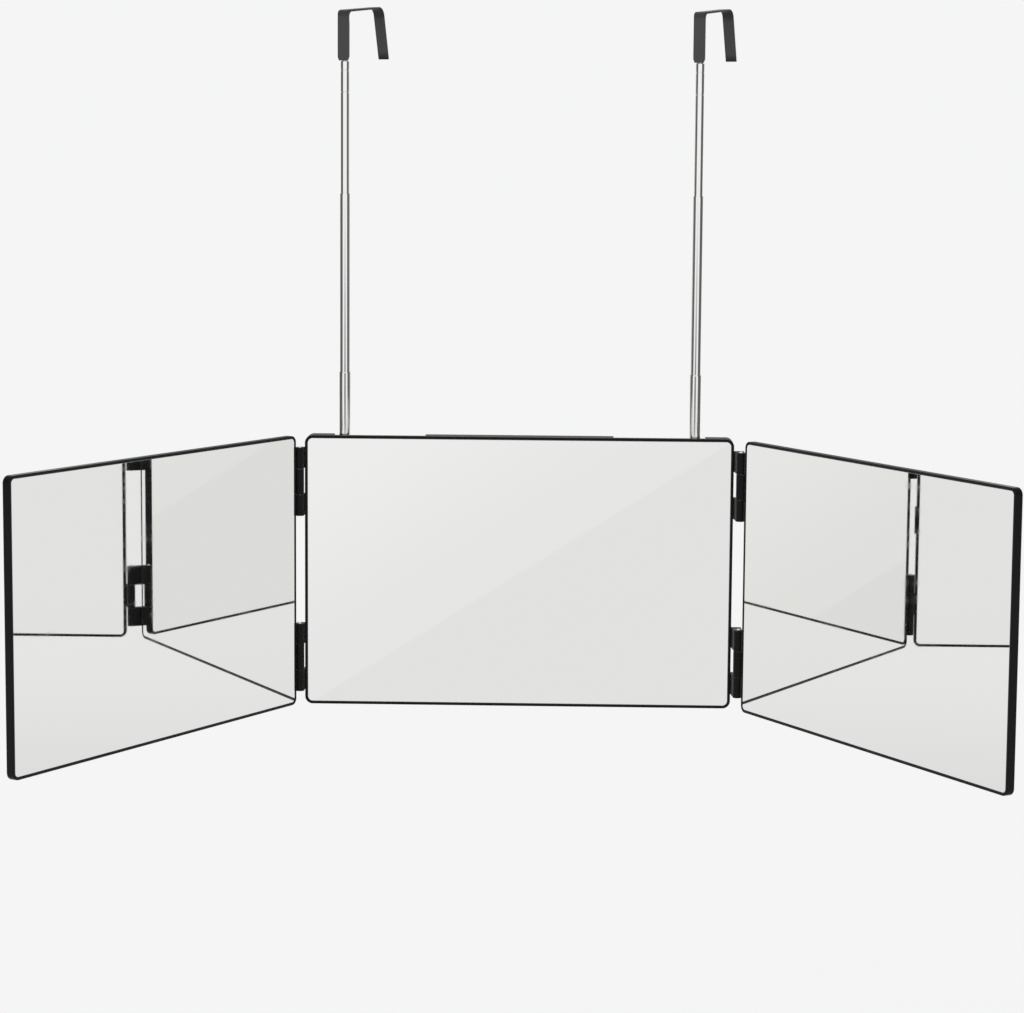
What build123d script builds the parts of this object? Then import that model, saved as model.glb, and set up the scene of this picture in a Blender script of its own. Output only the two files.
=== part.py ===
from build123d import *
import os

# Three-panel folding mirror that hangs on two telescopic rods with door hooks.
# Millimetres. +X is across the mirror, the glass faces -Y, +Z is up.
# The origin is at the middle of the casing's bottom edge, in the plane of the two rods.

# ---------------------------------------------------------------- panels
PANEL_L = 280.0            # every panel, across
PANEL_H = 178.0            # every panel, up
RIM_W = 1.5                # moulded rim seen round each glass
FIT = 0.15                 # play between a glass and its rim
GLASS_T = 2.0
GLASS_SINK = 0.3           # the glass lies this far behind the rim
CORNER_R = 5.0             # casing corners
WING_CORNER_R = 4.5

# ---------------------------------------------------------------- centre casing
CASING_D = 15.0
Y_FRONT = -9.0             # front of the casing's rim
Y_BACK = Y_FRONT + CASING_D
CASING_FLOOR = 1.6
BACK_INSET = 1.8           # draft of the two short sides, at the back
BACK_EDGE_R = 1.2
TAPE_T = 0.7               # foam tape behind the centre glass
PLATE_T = 1.4              # backing plate that carries the centre glass
LEDGE_W = 4.2              # wall that the backing plate rests on
Y_TAPE = Y_FRONT + GLASS_SINK + GLASS_T
Y_PLATE = Y_TAPE + TAPE_T
Y_LEDGE = Y_PLATE + PLATE_T
Y_FLOOR = Y_BACK - CASING_FLOOR

# ---------------------------------------------------------------- wings
WING_T = 5.6
WING_TAPE_T = 0.5
WING_FLOOR = 1.2
WING_RIB = 1.2             # width of the ribs inside a wing
STACK_GAP = 0.5            # air between two panels when folded
WING_REST = 60.0           # degrees that each wing is turned forward from flat
WING_Y0 = STACK_GAP / 2    # front of a flat wing, behind its hinge axis
WING_WALL = 4.0            # solid border outside the cells in a wing's floor
WING_HINGE_WALL = 20.0     # the same along the hinges, round their leaves
WING_CELLS = (6, 4)        # cells in a wing's floor, across and up
T_TAPE = GLASS_SINK + GLASS_T
T_RIB = T_TAPE + WING_TAPE_T
T_FLOOR = WING_T - WING_FLOOR

# ---------------------------------------------------------------- hinges
BARREL_R = 2.9
PIN_R = 1.1
RUNNING = 0.05             # radial clearance of every running fit
KNUCKLES = (14.0, 17.0, 14.0)   # from the lower end up; the middle one is the wing's
KNUCKLE_GAP = 0.3
HINGE_L = sum(KNUCKLES)
HINGE_Z = {"lower": 8.6, "upper": 125.0}      # lower end of each hinge
NOTCH_FLOOR_X = 135.5      # floor of the notch that holds a bracket
NOTCH_Y = Y_LEDGE + 1.2    # front of the notch
NOTCH_TAPER = 5.0          # each end of the notch narrows by this towards the back
NOTCH_PLAY = 0.3
NOTCH_BACKING = 6.0        # solid behind the notch, for the bracket's screws
BRACKET_T = 2.0
BRACKET_SCREW_Y = 1.2
BRACKET_SCREW_DZ = 4.5     # each side of the wing's knuckle's middle
BRACKET_SCREW_L = 6.5
LEAF_L = 42.0              # plate of the wing leaf, along the hinge
LEAF_W = 14.0
LEAF_INSET = 2.0           # the plate starts this far inside the wing's edge
LEAF_AIR = 0.3             # between a leaf's arm and the tray's edge
LEAF_SCREW_X = 11.0        # from the wing's edge
LEAF_SCREW_DZ = 15.0       # each side of the hinge's middle
SIDES = {                  # sign in X, panel edge to hinge axis, plane of the axis
    "left": (-1, 3.4, Y_FRONT - STACK_GAP / 2),
    "right": (1, 4.2, Y_FRONT - WING_T - 1.5 * STACK_GAP),
}
STOP_L = 20.0              # rib on the left wing's edge that keeps the folded panels level
STOP_Z = PANEL_H / 2 + 5.0

# ---------------------------------------------------------------- rods and hooks
ROD_X = 114.5
TUBE_R = {"lower": 3.6, "middle": 3.15, "upper": 2.7}
TUBE_WALL = {"lower": 0.25, "middle": 0.25, "upper": 0.35}
TUBE_TOP = {"lower": 219.0, "middle": 335.0, "upper": 420.0}
TUBE_L = {"lower": 126.0, "middle": 127.3, "upper": 126.0}
SLEEVE_R = 4.1
SLEEVE_BORE_R = 3.8
SLEEVE_BOTTOM = 4.0
NECK_L = 3.0               # rolled-in mouth of a tube
RING_L = 8.0               # split friction ring at the foot of a tube
RING_SLIT = 0.8
POCKET_FLOOR_Z = 132.0     # floor of the pocket that a stowed hook lies in
POCKET_X = (61.5, 121.5)
POCKET_WALL = 1.6
HOOK_GAP = 0.3             # between the upper tube and the hook
HOOK_FOOT = TUBE_TOP["upper"] + HOOK_GAP
HOOK_REST = 26.0           # degrees that both hooks are turned towards +X
STRAP_W = 7.6
LEG_T = 2.6                # front leg of a hook
BAR_T = 1.3                # its top bar and rear leg
BOSS_R = 3.0               # round socket behind the front leg
BOSS_H = 24.4
BOSS_TIP_H = 3.4           # its cone, which ends clear of what the bar rests on
HOOK_FACE_Y = -BOSS_R - 0.1
HOOK_FRONT_H = 32.2        # top of the hook over its front leg, above its foot
HOOK_REAR_H = 36.0         # top of the hook over its rear leg
HOOK_REAR_Y = (42.6, 50.0)      # rear leg's middle at its top and at its foot
HOOK_REAR_FOOT = 1.9
HOOK_BENDS = (3.2, 6.5, 5.2, 3.4)     # radii: over the front, over the rear, under each
SWIVEL_NECK_R = 1.7
SWIVEL_HEAD_R = 2.1
SWIVEL_HEAD_H = 2.0
SWIVEL_NECK_L = 16.0       # head of the swivel pin, above the hook's foot
SWIVEL_STEM_L = 24.0
CRIMPS = (6.0, 20.0)       # roll crimps, below the top of the upper tube

# ---------------------------------------------------------------- fasteners
SCREW_R = 1.1
SCREW_HEAD_R = 2.1
SCREW_HEAD_H = 1.2
BOSS_WALL = 1.9            # round every screw hole in the casing
BITE = 0.5                 # how far joined solids run into each other
CLAMP_Z = {"lower": 28.0, "upper": 112.0}
CLAMP_W = 8.0
CLAMP_T = 0.4
CLAMP_HOLE_X = 8.0
CLAMP_SCREW_L = 4.0
PLATE_SCREWS = ((-50, 22), (50, 22), (-50, 104), (50, 104), (0, 62), (0, 156))
PLATE_SCREW_L = 7.5
RIB_X = (-28, 28)          # stiffening ribs on the casing's floor
RIB_Z = (48, 84)
RIB_H = 3.0
RIB_T = 1.2


# ================================================================ helpers
def block(x0, x1, y0, y1, z0, z1):
    """Box between two corners."""
    return Pos((x0 + x1) / 2, (y0 + y1) / 2, (z0 + z1) / 2) * Box(
        abs(x1 - x0), abs(y1 - y0), abs(z1 - z0)
    )


def upright_slab(length, height, radius, y0, y1, x=0.0, z=PANEL_H / 2):
    """Rounded rectangle that stands in the XZ plane, from y0 back to y1."""
    plan = RectangleRounded(length, height, radius)
    return Pos(x, (y0 + y1) / 2, z) * Rot(X=90) * extrude(plan, (y1 - y0) / 2, both=True)


def prism(points, z0, z1):
    """Polygon in the XY plane, raised from z0 to z1."""
    face = make_face(Polyline(*points, close=True))
    return Pos(0, 0, z0) * extrude(face, z1 - z0)


def rod(radius, z0, z1):
    """Upright cylinder on the Z axis."""
    return Pos(0, 0, (z0 + z1) / 2) * Cylinder(radius, z1 - z0)


def turned(*profile):
    """Body turned about the Z axis from (radius, z) points."""
    face = make_face(Polyline(*[(r, 0, z) for r, z in profile], close=True))
    return revolve(face, Axis.Z)


def flip(shape, sign):
    """The shape itself on the +X side, its mirror image on the -X side."""
    return shape if sign > 0 else mirror(shape, about=Plane.YZ)


def group(shapes):
    """Several separate solids as one node."""
    return Compound(children=[s.solid() for s in shapes])


def countersunk(length):
    """Countersunk screw along -Z with the top of its flat head at the origin."""
    return turned(
        (0, 0), (SCREW_HEAD_R, 0), (SCREW_HEAD_R, -0.3), (SCREW_R, -SCREW_HEAD_H),
        (SCREW_R, 1.0 - length), (0.3, -length), (0, -length),
    )


def cross_recess():
    """Cross recess to cut into a screw's head whose top is at the origin."""
    return Pos(0, 0, -0.3) * (Box(2.4, 0.5, 0.8) + Box(0.5, 2.4, 0.8))


def countersink_hole():
    """Hole for a countersunk screw along -Z, from the surface at z = 0."""
    return turned((0, 1), (SCREW_HEAD_R, 1), (SCREW_HEAD_R, -0.3), (SCREW_R, -SCREW_HEAD_H),
                  (SCREW_R, -3), (0, -3))


def pan_head(length):
    """Pan-head screw along -Z that bears at the origin."""
    return turned(
        (0, 1.2), (1.2, 1.2), (1.9, 0.6), (1.9, 0), (SCREW_R, 0),
        (SCREW_R, 1.0 - length), (0.3, -length), (0, -length),
    )


# ================================================================ centre casing
def casing_shell():
    """Tub with drafted short sides, a rim round the glass and a ledge for the plate."""
    half, back = PANEL_L / 2, PANEL_L / 2 - BACK_INSET
    draft = prism([(-half, Y_FRONT), (half, Y_FRONT), (half, Y_LEDGE), (back, Y_BACK),
                   (-back, Y_BACK), (-half, Y_LEDGE)], 0, PANEL_H)
    shell = upright_slab(PANEL_L, PANEL_H, CORNER_R, Y_FRONT, Y_BACK) & draft
    shell = fillet(shell.faces().sort_by(Axis.Y)[-1].edges(), BACK_EDGE_R)
    shell = fillet(shell.faces().sort_by(Axis.Y)[0].edges(), 0.4)
    rim_l, rim_h = PANEL_L - 2 * RIM_W, PANEL_H - 2 * RIM_W
    shell -= upright_slab(rim_l, rim_h, CORNER_R - RIM_W, Y_FRONT - 1, Y_LEDGE)
    well_l, well_h = PANEL_L - 2 * LEDGE_W, PANEL_H - 2 * LEDGE_W
    shell -= upright_slab(well_l, well_h, 2.0, Y_LEDGE - 1, Y_FLOOR)
    return shell


def stiffening_ribs():
    """Low ribs moulded on the casing's floor."""
    y0, end = Y_FLOOR - RIB_H, LEDGE_W - BITE
    upright = [block(x - RIB_T / 2, x + RIB_T / 2, y0, Y_FLOOR + BITE, end, PANEL_H - end)
               for x in RIB_X]
    level = [block(end - PANEL_L / 2, PANEL_L / 2 - end, y0, Y_FLOOR + BITE,
                   z - RIB_T / 2, z + RIB_T / 2) for z in RIB_Z]
    return upright + level


def hook_pocket_block(sign):
    """Walls round the pocket in the top edge where a stowed hook lies."""
    walls = block(POCKET_X[0] - POCKET_WALL, POCKET_X[1] + POCKET_WALL, Y_PLATE, Y_BACK - BITE,
                  POCKET_FLOOR_Z - POCKET_WALL, PANEL_H - BITE)
    return flip(walls, sign)


def hook_pocket_void(sign):
    """The pocket itself, open to the top and to the back, with rounded floor corners."""
    width = POCKET_X[1] - POCKET_X[0]
    height = 2 * (PANEL_H - POCKET_FLOOR_Z)
    void = upright_slab(width, height, 2.5, Y_LEDGE, Y_BACK + 1,
                        sum(POCKET_X) / 2, POCKET_FLOOR_Z + height / 2)
    return flip(void, sign)


def notch_profile(z0, play):
    """(y, z) corners of a bracket's notch with some play; it narrows towards the back."""
    low, high = z0 - play, z0 + HINGE_L + play
    back = Y_BACK + BITE
    return [(NOTCH_Y, low), (NOTCH_Y, high), (back, high - NOTCH_TAPER), (back, low + NOTCH_TAPER)]


def across(profile, x0, x1):
    """(y, z) outline drawn out along X."""
    face = make_face(Polyline(*[(0, y, z) for y, z in profile], close=True))
    return Pos(x0, 0, 0) * extrude(face, x1 - x0, dir=(1, 0, 0))


def hinge_notch(z0):
    """Notch in the +X side that a hinge bracket sits in."""
    return across(notch_profile(z0, NOTCH_PLAY), NOTCH_FLOOR_X, PANEL_L / 2 + 1)


def notch_backing(z0):
    """Solid round a notch on the +X side, which closes it towards the inside."""
    return block(NOTCH_FLOOR_X - NOTCH_BACKING, PANEL_L / 2 - LEDGE_W + BITE, Y_LEDGE,
                 Y_FLOOR + BITE, z0 - 2, z0 + HINGE_L + 2)


def plate_boss(x, z):
    """Round boss on the casing's floor that the backing plate is screwed to."""
    height = Y_FLOOR + BITE - Y_LEDGE
    return Pos(x, Y_LEDGE, z) * Rot(X=90) * rod(SCREW_R + BOSS_WALL, -height, 0)


def cradle(z):
    """Saddle on the casing's floor that a rod sleeve lies in, with two screw bosses."""
    reach = CLAMP_HOLE_X + SCREW_R + BOSS_WALL
    seat = block(-reach, reach, 0, Y_FLOOR + BITE, z - CLAMP_W / 2, z + CLAMP_W / 2)
    return seat - rod(SLEEVE_R, z - CLAMP_W, z + CLAMP_W)


def casing():
    """Housing with everything moulded on to it, then all its holes."""
    body = casing_shell()
    for rib in stiffening_ribs():
        body += rib
    for x, z in PLATE_SCREWS:
        body += plate_boss(x, z)
    for sign in (-1, 1):
        body += hook_pocket_block(sign)
        for z0 in HINGE_Z.values():
            body += flip(notch_backing(z0), sign)
        for z in CLAMP_Z.values():
            body += Pos(sign * ROD_X, 0, 0) * cradle(z)
    for sign in (-1, 1):
        body -= hook_pocket_void(sign)
        body -= Pos(sign * ROD_X, 0, 0) * rod(SLEEVE_R, SLEEVE_BOTTOM, POCKET_FLOOR_Z + 1)
        for z0 in HINGE_Z.values():
            body -= flip(hinge_notch(z0), sign)
            for z in bracket_screw_heights(z0):
                hole = rod(SCREW_R, -BRACKET_SCREW_L, 0)
                body -= flip(Pos(NOTCH_FLOOR_X + 1, BRACKET_SCREW_Y, z) * Rot(Y=90) * hole, sign)
        for z in CLAMP_Z.values():
            for dx in (-CLAMP_HOLE_X, CLAMP_HOLE_X):
                hole = rod(SCREW_R, -CLAMP_SCREW_L - 0.2, 1)
                body -= Pos(sign * ROD_X + dx, 0, z) * Rot(X=90) * hole
    for x, z in PLATE_SCREWS:
        body -= Pos(x, Y_LEDGE, z) * Rot(X=90) * rod(SCREW_R, PLATE_T - PLATE_SCREW_L, 1)
    return body


def pocket_cut(sign, y0, y1):
    """Cut-out for a pocket's walls in the sheets behind the centre glass."""
    return flip(block(POCKET_X[0] - POCKET_WALL - FIT, POCKET_X[1] + POCKET_WALL + FIT,
                      y0, y1, POCKET_FLOOR_Z - POCKET_WALL - FIT, PANEL_H), sign)


def backing_plate():
    """Flat plate screwed to the casing's bosses; the glass is taped to it."""
    length, height = PANEL_L - 2 * RIM_W - 2 * FIT, PANEL_H - 2 * RIM_W - 2 * FIT
    plate = upright_slab(length, height, CORNER_R - RIM_W, Y_PLATE, Y_LEDGE)
    for sign in (-1, 1):
        plate -= pocket_cut(sign, Y_PLATE - 1, Y_LEDGE + 1)
    for x, z in PLATE_SCREWS:
        plate -= Pos(x, Y_PLATE, z) * Rot(X=90) * countersink_hole()
    return plate


def centre_tape():
    return upright_slab(PANEL_L - 10, PANEL_H - 10, 3.0, Y_TAPE, Y_PLATE)


def centre_mirror():
    glass = upright_slab(PANEL_L - 2 * RIM_W - 2 * FIT, PANEL_H - 2 * RIM_W - 2 * FIT,
                         CORNER_R - RIM_W, Y_FRONT + GLASS_SINK, Y_TAPE)
    return chamfer(glass.faces().sort_by(Axis.Y)[0].edges(), 0.3)


# ================================================================ hinges
def bracket_screw_heights(z0):
    """Two screws per bracket, both behind the wing's knuckle."""
    middle = z0 + KNUCKLES[0] + KNUCKLES[1] / 2
    return middle - BRACKET_SCREW_DZ, middle + BRACKET_SCREW_DZ


def knuckle_spans(z0):
    """(low, high) of the three knuckles of a hinge, less the gaps between them."""
    spans = []
    for length in KNUCKLES:
        spans.append((z0 + KNUCKLE_GAP / 2, z0 + length - KNUCKLE_GAP / 2))
        z0 += length
    return spans


def hinge_bracket(side, z0):
    """Moulded bracket in the casing's notch: a base and two gusseted knuckles."""
    sign, gap, axis_y = SIDES[side]
    axis_x, side_x = PANEL_L / 2 + gap, PANEL_L / 2
    base_y, root_y = NOTCH_Y + NOTCH_PLAY, Y_BACK - 1.0
    inner_x = NOTCH_FLOOR_X + BRACKET_T
    gusset = [
        (NOTCH_FLOOR_X, base_y), (side_x + 0.3, base_y),
        (axis_x - BARREL_R + 0.3, axis_y), (axis_x + BARREL_R - 0.1, axis_y + 0.6),
        (axis_x + BARREL_R - 0.8, base_y + 1.2), (side_x - BACK_INSET - 0.1, root_y),
        (NOTCH_FLOOR_X, root_y),
    ]
    bracket = prism([(NOTCH_FLOOR_X, base_y), (inner_x, base_y), (inner_x, root_y),
                     (NOTCH_FLOOR_X, root_y)], z0, z0 + HINGE_L)
    for low, high in knuckle_spans(z0)[::2]:
        bracket += prism(gusset, low, high)
        bracket += Pos(axis_x, axis_y, 0) * rod(BARREL_R, low, high)
    ahead = axis_y - BARREL_R - 1
    room = [(ahead, z0), (ahead, z0 + HINGE_L)] + notch_profile(z0, 0)[1:] + [(NOTCH_Y, z0)]
    bracket &= across(room, NOTCH_FLOOR_X - 1, axis_x + BARREL_R + 1)
    bracket -= Pos(axis_x, axis_y, 0) * rod(PIN_R + 0.01, z0 - 1, z0 + HINGE_L + 1)
    for z in bracket_screw_heights(z0):
        bracket -= Pos(inner_x, BRACKET_SCREW_Y, z) * Rot(Y=90) * countersink_hole()
    return flip(bracket, sign)


def hinge_pin(side, z0):
    """Steel pin with a small domed head above the upper knuckle."""
    sign, gap, axis_y = SIDES[side]
    low, top = z0 + 0.4, z0 + HINGE_L
    pin = turned((0, low), (PIN_R - 0.2, low), (PIN_R, low + 0.3), (PIN_R, top),
                 (PIN_R + 0.35, top), (PIN_R + 0.35, top + 0.4), (PIN_R - 0.4, top + 0.8),
                 (0, top + 0.9))
    return Pos(sign * (PANEL_L / 2 + gap), axis_y, 0) * pin


# ================================================================ wings
# A wing is drawn flat, on the +X side, with its hinge axis on the Z axis, the glass towards
# -Y and its front face WING_Y0 behind the axis.
def place_wing(side, shape):
    """Move a flat +X wing piece to its side, turned forward by the rest angle."""
    sign, gap, axis_y = SIDES[side]
    turn = Rot(Z=-sign * WING_REST)
    return Pos(sign * (PANEL_L / 2 + gap), axis_y, 0) * turn * flip(shape, sign)


def wing_slab(gap, inset, radius, t0, t1):
    """Rounded slab in a flat wing, inset from its edge, between two depths."""
    return upright_slab(PANEL_L - 2 * inset, PANEL_H - 2 * inset, radius,
                        WING_Y0 + t0, WING_Y0 + t1, gap + PANEL_L / 2)


def leaf_root(gap, z0, play):
    """Block of the wing leaf that passes through the tray's edge."""
    low, high = knuckle_spans(z0)[1]
    out = 1 if play else LEAF_AIR + 0.2
    back = WING_Y0 + WING_T + (1 if play else -0.2)
    return block(gap - out, gap + 5.5 + play, WING_Y0 + T_RIB, back, low + 0.4 - play,
                 high - 0.4 + play)


def leaf_plate(gap, z0, play):
    """Flat plate of the wing leaf inside the tray."""
    x0, middle = gap + LEAF_INSET, z0 + HINGE_L / 2
    return block(x0 - play, x0 + LEAF_W + play, WING_Y0 + T_RIB, WING_Y0 + T_FLOOR,
                 middle - LEAF_L / 2 - play, middle + LEAF_L / 2 + play)


def leaf_screw_places(gap, z0):
    """Two screws per leaf, beside its root."""
    middle = z0 + HINGE_L / 2
    return [(gap + LEAF_SCREW_X, middle + dz) for dz in (-LEAF_SCREW_DZ, LEAF_SCREW_DZ)]


def wing_cells(gap):
    """Shallow cells in a wing's floor, which leave a grid of ribs for the tape."""
    x0, x1 = gap + WING_HINGE_WALL, gap + PANEL_L - WING_WALL
    columns, rows = WING_CELLS
    pitch_x = (x1 - x0) / columns
    pitch_z = (PANEL_H - 2 * WING_WALL) / rows
    cell = block(WING_RIB / 2, pitch_x - WING_RIB / 2, WING_Y0 + T_RIB - BITE, WING_Y0 + T_FLOOR,
                 WING_RIB / 2, pitch_z - WING_RIB / 2)
    return [Pos(x0 + i * pitch_x, 0, WING_WALL + j * pitch_z) * cell
            for i in range(columns) for j in range(rows)]


def wing_tray(side):
    """Thin moulded tray: rim, floor and a grid of low ribs that the glass is taped to."""
    gap = SIDES[side][1]
    tray = wing_slab(gap, 0, WING_CORNER_R, 0, WING_T)
    tray = fillet(tray.faces().sort_by(Axis.Y)[-1].edges(), 0.9)
    tray = fillet(tray.faces().sort_by(Axis.Y)[0].edges(), 0.4)
    tray -= wing_slab(gap, RIM_W, WING_CORNER_R - RIM_W, -1, T_RIB)
    for cell in wing_cells(gap):
        tray -= cell
    for z0 in HINGE_Z.values():
        tray -= leaf_root(gap, z0, 0.1)
        tray -= leaf_plate(gap, z0, 0.1)
        for x, z in leaf_screw_places(gap, z0):
            tray -= Pos(x, WING_Y0 + T_FLOOR - 0.1, z) * Rot(X=90) * rod(SCREW_R, -0.7, 0)
    if side == "left":
        tray += block(gap - 1.2, gap + BITE, WING_Y0 + 1.4, WING_Y0 + 3.6,
                      STOP_Z - STOP_L / 2, STOP_Z + STOP_L / 2)
    return tray


def wing_mirror(side):
    gap = SIDES[side][1]
    glass = wing_slab(gap, RIM_W + FIT, WING_CORNER_R - RIM_W, GLASS_SINK, T_TAPE)
    return chamfer(glass.faces().sort_by(Axis.Y)[0].edges(), 0.3)


def wing_tape(side):
    gap = SIDES[side][1]
    return wing_slab(gap, 4.5, 2.0, T_TAPE, T_RIB)


def hinge_leaf(side, z0):
    """Wing half of a hinge: one knuckle, its arm and the plate screwed into the tray."""
    gap = SIDES[side][1]
    low, high = knuckle_spans(z0)[1]
    arm = prism([(1.0, BARREL_R - 0.2), (gap - LEAF_AIR, WING_Y0 + WING_T - 0.2),
                 (gap - LEAF_AIR, WING_Y0 + T_RIB), (BARREL_R - 0.1, -0.8), (0, 0)], low, high)
    leaf = rod(BARREL_R, low, high) + arm + leaf_root(gap, z0, 0) + leaf_plate(gap, z0, 0)
    leaf -= rod(PIN_R + RUNNING, low - 1, high + 1)
    for x, z in leaf_screw_places(gap, z0):
        leaf -= Pos(x, WING_Y0 + T_RIB, z) * Rot(X=90) * countersink_hole()
    return leaf


def leaf_screws(side):
    gap = SIDES[side][1]
    return group([place_wing(side, Pos(x, WING_Y0 + T_RIB, z) * Rot(X=90) * countersunk(2.1))
                  for z0 in HINGE_Z.values() for x, z in leaf_screw_places(gap, z0)])


# ================================================================ telescopic rods
def tube(stage, bore_of_neck):
    """One drawn tube with its mouth rolled in to guide the next one."""
    radius, top = TUBE_R[stage], TUBE_TOP[stage]
    bore, bottom = radius - TUBE_WALL[stage], top - TUBE_L[stage]
    return turned(
        (bore, bottom), (radius, bottom), (radius, top - 0.5), (radius - 0.15, top),
        (bore_of_neck, top), (bore_of_neck, top - NECK_L), (bore, top - NECK_L),
    )


def upper_tube():
    """Thinnest tube, rolled on to the swivel pin in two grooves."""
    radius, top = TUBE_R["upper"], TUBE_TOP["upper"]
    bore, bottom = radius - TUBE_WALL["upper"], top - TUBE_L["upper"]
    body = turned((bore, bottom), (radius, bottom), (radius, top - 0.3), (radius - 0.3, top),
                  (bore, top))
    for depth in CRIMPS:
        z, dent = top - depth, 0.15
        body -= turned((radius - dent, z - 0.4), (radius + 1, z - 0.8), (radius + 1, z + 0.8),
                       (radius - dent, z + 0.4))
    return body


def sleeve():
    """Guide tube fixed in the casing, with a rolled-in mouth at the pocket's floor."""
    neck = TUBE_R["lower"] + RUNNING
    return turned(
        (SLEEVE_BORE_R, SLEEVE_BOTTOM), (SLEEVE_R, SLEEVE_BOTTOM), (SLEEVE_R, POCKET_FLOOR_Z),
        (neck, POCKET_FLOOR_Z), (neck, POCKET_FLOOR_Z - NECK_L),
        (SLEEVE_BORE_R, POCKET_FLOOR_Z - NECK_L),
    )


def sleeve_plug():
    """Plug in the foot of a sleeve that the collapsed rod stops on."""
    low, high = SLEEVE_BOTTOM, SLEEVE_BOTTOM + 3.6
    return turned((0, low), (SLEEVE_BORE_R, low), (SLEEVE_BORE_R, high - 0.6),
                  (SLEEVE_BORE_R - 0.6, high), (0, high))


def friction_ring(stage, outer_bore):
    """Split spring ring round the foot of a tube, which drags in the tube outside it."""
    low = TUBE_TOP[stage] - TUBE_L[stage]
    high = low + RING_L
    ring = rod(outer_bore - RUNNING, low, high) - rod(TUBE_R[stage], low - 1, high + 1)
    return ring - block(0, SLEEVE_R, -RING_SLIT / 2, RING_SLIT / 2, low - 1, high + 1)


def swivel_pin():
    """Pin rolled into the top of a rod; the hook turns on its neck and can't lift off."""
    top = TUBE_TOP["upper"]
    stem = TUBE_R["upper"] - TUBE_WALL["upper"] - 0.01
    head = HOOK_FOOT + SWIVEL_NECK_L
    return turned(
        (0, top - SWIVEL_STEM_L), (stem, top - SWIVEL_STEM_L), (stem, top), (SWIVEL_NECK_R, top),
        (SWIVEL_NECK_R, head), (SWIVEL_HEAD_R, head), (SWIVEL_HEAD_R, head + SWIVEL_HEAD_H - 0.6),
        (SWIVEL_HEAD_R - 0.6, head + SWIVEL_HEAD_H), (0, head + SWIVEL_HEAD_H),
    )


def saddle_clamp(z):
    """Sheet-metal saddle that holds a sleeve in its cradle."""
    reach, low, high = CLAMP_HOLE_X + SCREW_R + BOSS_WALL, z - CLAMP_W / 2, z + CLAMP_W / 2
    saddle = rod(SLEEVE_R + CLAMP_T, low, high) & block(-reach, reach, -reach, 0, low, high)
    saddle += block(-reach, reach, -CLAMP_T, 0, low, high)
    saddle -= rod(SLEEVE_R, low - 1, high + 1)
    for dx in (-CLAMP_HOLE_X, CLAMP_HOLE_X):
        saddle -= Pos(dx, 0, z) * Rot(X=90) * rod(SCREW_R + 0.1, -1, 2)
    return saddle


# ================================================================ hooks
def hook_strap():
    """Bent strap: a thick front leg, a thin bar over the door and a rear leg that leans out."""
    front_top, rear_top = HOOK_FOOT + HOOK_FRONT_H, HOOK_FOOT + HOOK_REAR_H
    rear_foot = HOOK_FOOT + HOOK_REAR_FOOT
    leg_back = HOOK_FACE_Y + LEG_T
    (top_y, foot_y), half = HOOK_REAR_Y, BAR_T / 2
    outer = [(HOOK_FACE_Y, front_top), (top_y + half, rear_top)]
    inner = [(top_y - half, rear_top - BAR_T), (leg_back, front_top - BAR_T)]
    corners = [(HOOK_FACE_Y, HOOK_FOOT), *outer, (foot_y + half, rear_foot),
               (foot_y - half, rear_foot), *inner, (leg_back, HOOK_FOOT)]
    side_view = make_face(Polyline(*corners, close=True))
    for corner, radius in zip(outer + inner, HOOK_BENDS):
        side_view = fillet(side_view.vertices().sort_by_distance(corner)[0], radius)
    strap = extrude(Plane.YZ * side_view, STRAP_W / 2, both=True)
    faces = strap.faces().sort_by(Axis.X)
    return fillet(faces[0].edges() + faces[-1].edges(), 0.4)


def hook():
    """Door hook drawn with its rod on the Z axis and its rear leg towards +Y."""
    half, cone = STRAP_W / 2, HOOK_FOOT + 2.6
    front_view = make_face(Polyline(
        (-half + 1.1, HOOK_FOOT), (half - 1.1, HOOK_FOOT), (half, cone), (half, PANEL_H * 3),
        (-half, PANEL_H * 3), (-half, cone), close=True))
    body = hook_strap() & extrude(Plane.XZ * front_view, HOOK_REAR_Y[1] * 2, both=True)
    shoulder = HOOK_FOOT + BOSS_H
    body += turned((0, HOOK_FOOT), (BOSS_R - 0.9, HOOK_FOOT), (BOSS_R, cone), (BOSS_R, shoulder),
                   (BOSS_R - 2.2, shoulder + BOSS_TIP_H), (0, shoulder + BOSS_TIP_H))
    neck, head = SWIVEL_NECK_R + RUNNING, SWIVEL_HEAD_R + RUNNING
    low = HOOK_FOOT + SWIVEL_NECK_L - 0.1
    high = low + SWIVEL_HEAD_H + 0.2
    return body - turned((0, HOOK_FOOT - 1), (neck, HOOK_FOOT - 1), (neck, low), (head, low),
                         (head, high), (0, high))


# ================================================================ assembly
def place_rod(side, shape):
    return Pos(SIDES[side][0] * ROD_X, 0, 0) * shape


def clamp_screws():
    return group([Pos(sign * ROD_X + dx, -CLAMP_T, z) * Rot(X=90) * pan_head(CLAMP_SCREW_L)
                  for sign in (-1, 1) for dx in (-CLAMP_HOLE_X, CLAMP_HOLE_X)
                  for z in CLAMP_Z.values()])


def plate_screws():
    return group([Pos(x, Y_PLATE, z) * Rot(X=90) * countersunk(PLATE_SCREW_L)
                  for x, z in PLATE_SCREWS])


def bracket_screws():
    screw = Rot(Y=90) * (countersunk(BRACKET_SCREW_L) - cross_recess())
    return group([flip(Pos(NOTCH_FLOOR_X + BRACKET_T, BRACKET_SCREW_Y, z) * screw, sign)
                  for sign in (-1, 1) for z0 in HINGE_Z.values()
                  for z in bracket_screw_heights(z0)])


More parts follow.
